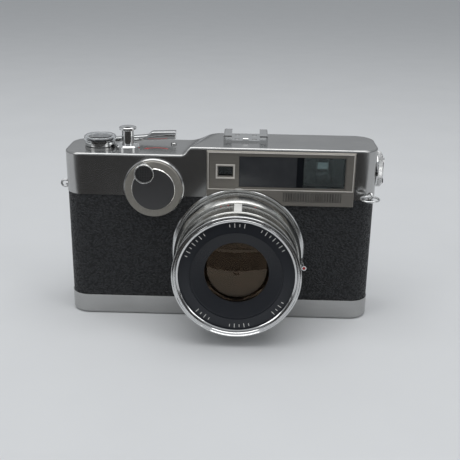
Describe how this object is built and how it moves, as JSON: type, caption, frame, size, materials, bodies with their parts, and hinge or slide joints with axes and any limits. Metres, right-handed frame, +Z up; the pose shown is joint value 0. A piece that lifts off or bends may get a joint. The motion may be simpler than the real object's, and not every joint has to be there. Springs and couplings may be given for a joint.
{
  "type": "film camera",
  "caption": "Rangefinder film camera with a fixed lens, stepped chrome top cover, front self-timer dial, end rewind crank and black grained covering.",
  "frame": {"origin": "mouth of the tripod socket, in the middle of the base cover", "axes": "+X to the right when facing the lens, the lens looks along -Y, +Z up"},
  "size_m": [0.15, 0.0631, 0.089],
  "materials": {
    "satin_chrome": "satin chrome plate",
    "bright_chrome": "polished chrome plate",
    "grey_satin": "warm grey satin metal",
    "cast_alloy": "black-lacquered die casting",
    "leatherette": "pebbled black leatherette",
    "black_lacquer": "matt black lacquer",
    "lens_alloy": "satin anodised aluminium",
    "steel": "machined steel",
    "black_plastic": "moulded black plastic",
    "frosted_plastic": "smoked frosted window",
    "optical_glass": "polished glass",
    "coated_glass": "amber-coated lens glass",
    "mirror_silver": "front-silvered mirror",
    "clear_dome": "clear moulded dome",
    "brass_fitting": "turned brass",
    "black_alloy": "black-anodised aluminium",
    "rim_chrome": "polished and plated alloy"
  },
  "bodies": {
    "camera_body": {"top_cover": "satin_chrome", "base_cover": "satin_chrome", "tripod_socket": "brass_fitting", "cover_screws": "steel", "body_casting": "cast_alloy", "front_covering": "leatherette", "end_plates": "satin_chrome", "door_hinge_pin": "steel", "window_bezel": "grey_satin", "frosted_window": "frosted_plastic", "finder_glasses": "optical_glass", "ribbed_trim": "grey_satin", "finder_housing": "black_plastic", "eyepiece_frame": "bright_chrome", "timer_base": "satin_chrome", "counter_post": "bright_chrome", "counter_window": "clear_dome", "release_collar": "bright_chrome", "release_spring": "steel", "accessory_shoe": "bright_chrome", "rewind_base": "bright_chrome", "strap_lugs": "bright_chrome", "lens_escutcheon": "rim_chrome", "lens_mount_tube": "lens_alloy"},
    "back_door": {"back_door": "black_lacquer", "back_covering": "leatherette", "pressure_plate": "black_lacquer", "pressure_spring": "steel"},
    "door_latch": {"door_latch": "bright_chrome"},
    "advance_lever": {"advance_lever": "bright_chrome", "lever_tip": "bright_chrome"},
    "take_up_spool": {"take_up_spool": "black_plastic"},
    "sprocket": {"sprocket": "steel"},
    "counter_dial": {"counter_dial": "black_alloy"},
    "release_button": {"release_button": "bright_chrome"},
    "rewind_release": {"rewind_release": "bright_chrome"},
    "self_timer": {"timer_dial": "grey_satin", "timer_plate": "satin_chrome", "timer_knob": "bright_chrome"},
    "rewind_knob": {"rewind_knob": "bright_chrome", "rewind_shaft": "steel"},
    "rewind_fork": {"rewind_fork": "steel"},
    "rewind_crank": {"rewind_crank": "bright_chrome"},
    "crank_handle": {"crank_handle": "black_plastic"},
    "strap_ring": {"strap_ring": "bright_chrome"},
    "sync_lever": {"sync_lever": "bright_chrome"},
    "focus_ring": {"focus_ring": "lens_alloy"},
    "lens_unit": {"shutter_housing": "black_alloy", "middle_collar": "black_alloy", "filter_rim": "rim_chrome", "name_ring": "black_alloy", "front_baffle": "black_alloy", "front_element": "coated_glass", "inner_elements": "coated_glass", "iris_blades": "steel", "shutter_blades": "steel"},
    "speed_ring": {"speed_ring": "lens_alloy"},
    "aperture_ring": {"aperture_ring": "lens_alloy"},
    "rangefinder_mirror": {"rangefinder_mirror": "mirror_silver"}
  },
  "joints": [
    {"name": "advance_stroke", "type": "hinge", "parent": "camera_body", "child": "advance_lever", "pos_m": [-0.05585, -0.0022, 0.0799], "axis": [0, 0, 1], "range_deg": [0, 185], "stiffness_Nm_per_rad": 0.004, "springref_deg": -17.19},
    {"name": "spool_turn", "type": "hinge", "parent": "camera_body", "child": "take_up_spool", "pos_m": [-0.05585, -0.0022, 0.03], "axis": [0, 0, 1], "range_deg": [0, 320]},
    {"name": "sprocket_turn", "type": "hinge", "parent": "camera_body", "child": "sprocket", "pos_m": [-0.0248, 0.00295, 0.0334], "axis": [0, 0, 1], "range_deg": [0, 361]},
    {"name": "counter_turn", "type": "hinge", "parent": "camera_body", "child": "counter_dial", "pos_m": [-0.05585, -0.0022, 0.083], "axis": [0, 0, 1], "range_deg": [0, 20]},
    {"name": "release_press", "type": "slide", "parent": "camera_body", "child": "release_button", "axis": [0, 0, -1], "range_m": [0, 0.0018], "stiffness_N_per_m": 400, "springref_m": -0.001, "deforming": ["release_spring"]},
    {"name": "rewind_release_press", "type": "slide", "parent": "camera_body", "child": "rewind_release", "axis": [0, 0, 1], "range_m": [0, 0.0014], "stiffness_N_per_m": 300, "springref_m": -0.001},
    {"name": "self_timer_wind", "type": "hinge", "parent": "camera_body", "child": "self_timer", "pos_m": [-0.0298, -0.015, 0.0635], "axis": [0, -1, 0], "range_deg": [0, 170]},
    {"name": "rewind_spin", "type": "hinge", "parent": "camera_body", "child": "rewind_knob", "pos_m": [0.071, 0, 0.0705], "axis": [1, 0, 0], "continuous": true},
    {"name": "fork_spin", "type": "hinge", "parent": "camera_body", "child": "rewind_fork", "pos_m": [0.0555, 0, 0.062], "axis": [0, 0, 1], "continuous": true},
    {"name": "crank_unfold", "type": "hinge", "parent": "rewind_knob", "child": "rewind_crank", "pos_m": [0.0746, 0, 0.0755], "axis": [0, -1, 0], "range_deg": [0, 180]},
    {"name": "handle_spin", "type": "hinge", "parent": "rewind_crank", "child": "crank_handle", "pos_m": [0.0746, 0, 0.0649], "axis": [1, 0, 0], "continuous": true},
    {"name": "strap_ring_swing", "type": "hinge", "parent": "camera_body", "child": "strap_ring", "pos_m": [0.06763, -0.01659, 0.062], "axis": [0.8829, 0.4695, 0], "range_deg": [-80, 95]},
    {"name": "sync_lever_turn", "type": "hinge", "parent": "camera_body", "child": "sync_lever", "pos_m": [0.0086, -0.015, 0.0334], "axis": [0, -1, 0], "range_deg": [0, 14]},
    {"name": "focus_turn", "type": "hinge", "parent": "camera_body", "child": "focus_ring", "pos_m": [0.0086, -0.015, 0.0334], "axis": [0, -1, 0], "range_deg": [0, 95]},
    {"name": "lens_extend", "type": "slide", "parent": "camera_body", "child": "lens_unit", "axis": [0, -1, 0], "range_m": [0, 0.0024]},
    {"name": "mirror_turn", "type": "hinge", "parent": "camera_body", "child": "rangefinder_mirror", "pos_m": [0.00245, -0.006, 0.07], "axis": [0, 0, 1], "range_deg": [0, 2.5]},
    {"name": "speed_ring_turn", "type": "hinge", "parent": "lens_unit", "child": "speed_ring", "pos_m": [0.0086, -0.015, 0.0334], "axis": [0, -1, 0], "range_deg": [-75, 75]},
    {"name": "aperture_ring_turn", "type": "hinge", "parent": "lens_unit", "child": "aperture_ring", "pos_m": [0.0086, -0.015, 0.0334], "axis": [0, -1, 0], "range_deg": [-50, 40]},
    {"name": "back_door_open", "type": "hinge", "parent": "camera_body", "child": "back_door", "pos_m": [-0.0716, 0.009, 0.0346], "axis": [0, 0, 1], "range_deg": [0, 110]},
    {"name": "latch_slide", "type": "slide", "parent": "camera_body", "child": "door_latch", "axis": [0, 0, -1], "range_m": [0, 0.003], "stiffness_N_per_m": 200, "springref_m": -0.001}
  ],
  "couplings": [
    {"joint": "spool_turn", "follows": "advance_stroke", "ratio": 1.7},
    {"joint": "sprocket_turn", "follows": "advance_stroke", "ratio": 1.9459},
    {"joint": "counter_turn", "follows": "advance_stroke", "ratio": 0.054054},
    {"joint": "fork_spin", "follows": "rewind_spin", "ratio": 1},
    {"joint": "focus_turn", "follows": "lens_extend", "rad_per_m": 690.17},
    {"joint": "mirror_turn", "follows": "lens_extend", "rad_per_m": 18.162}
  ]
}
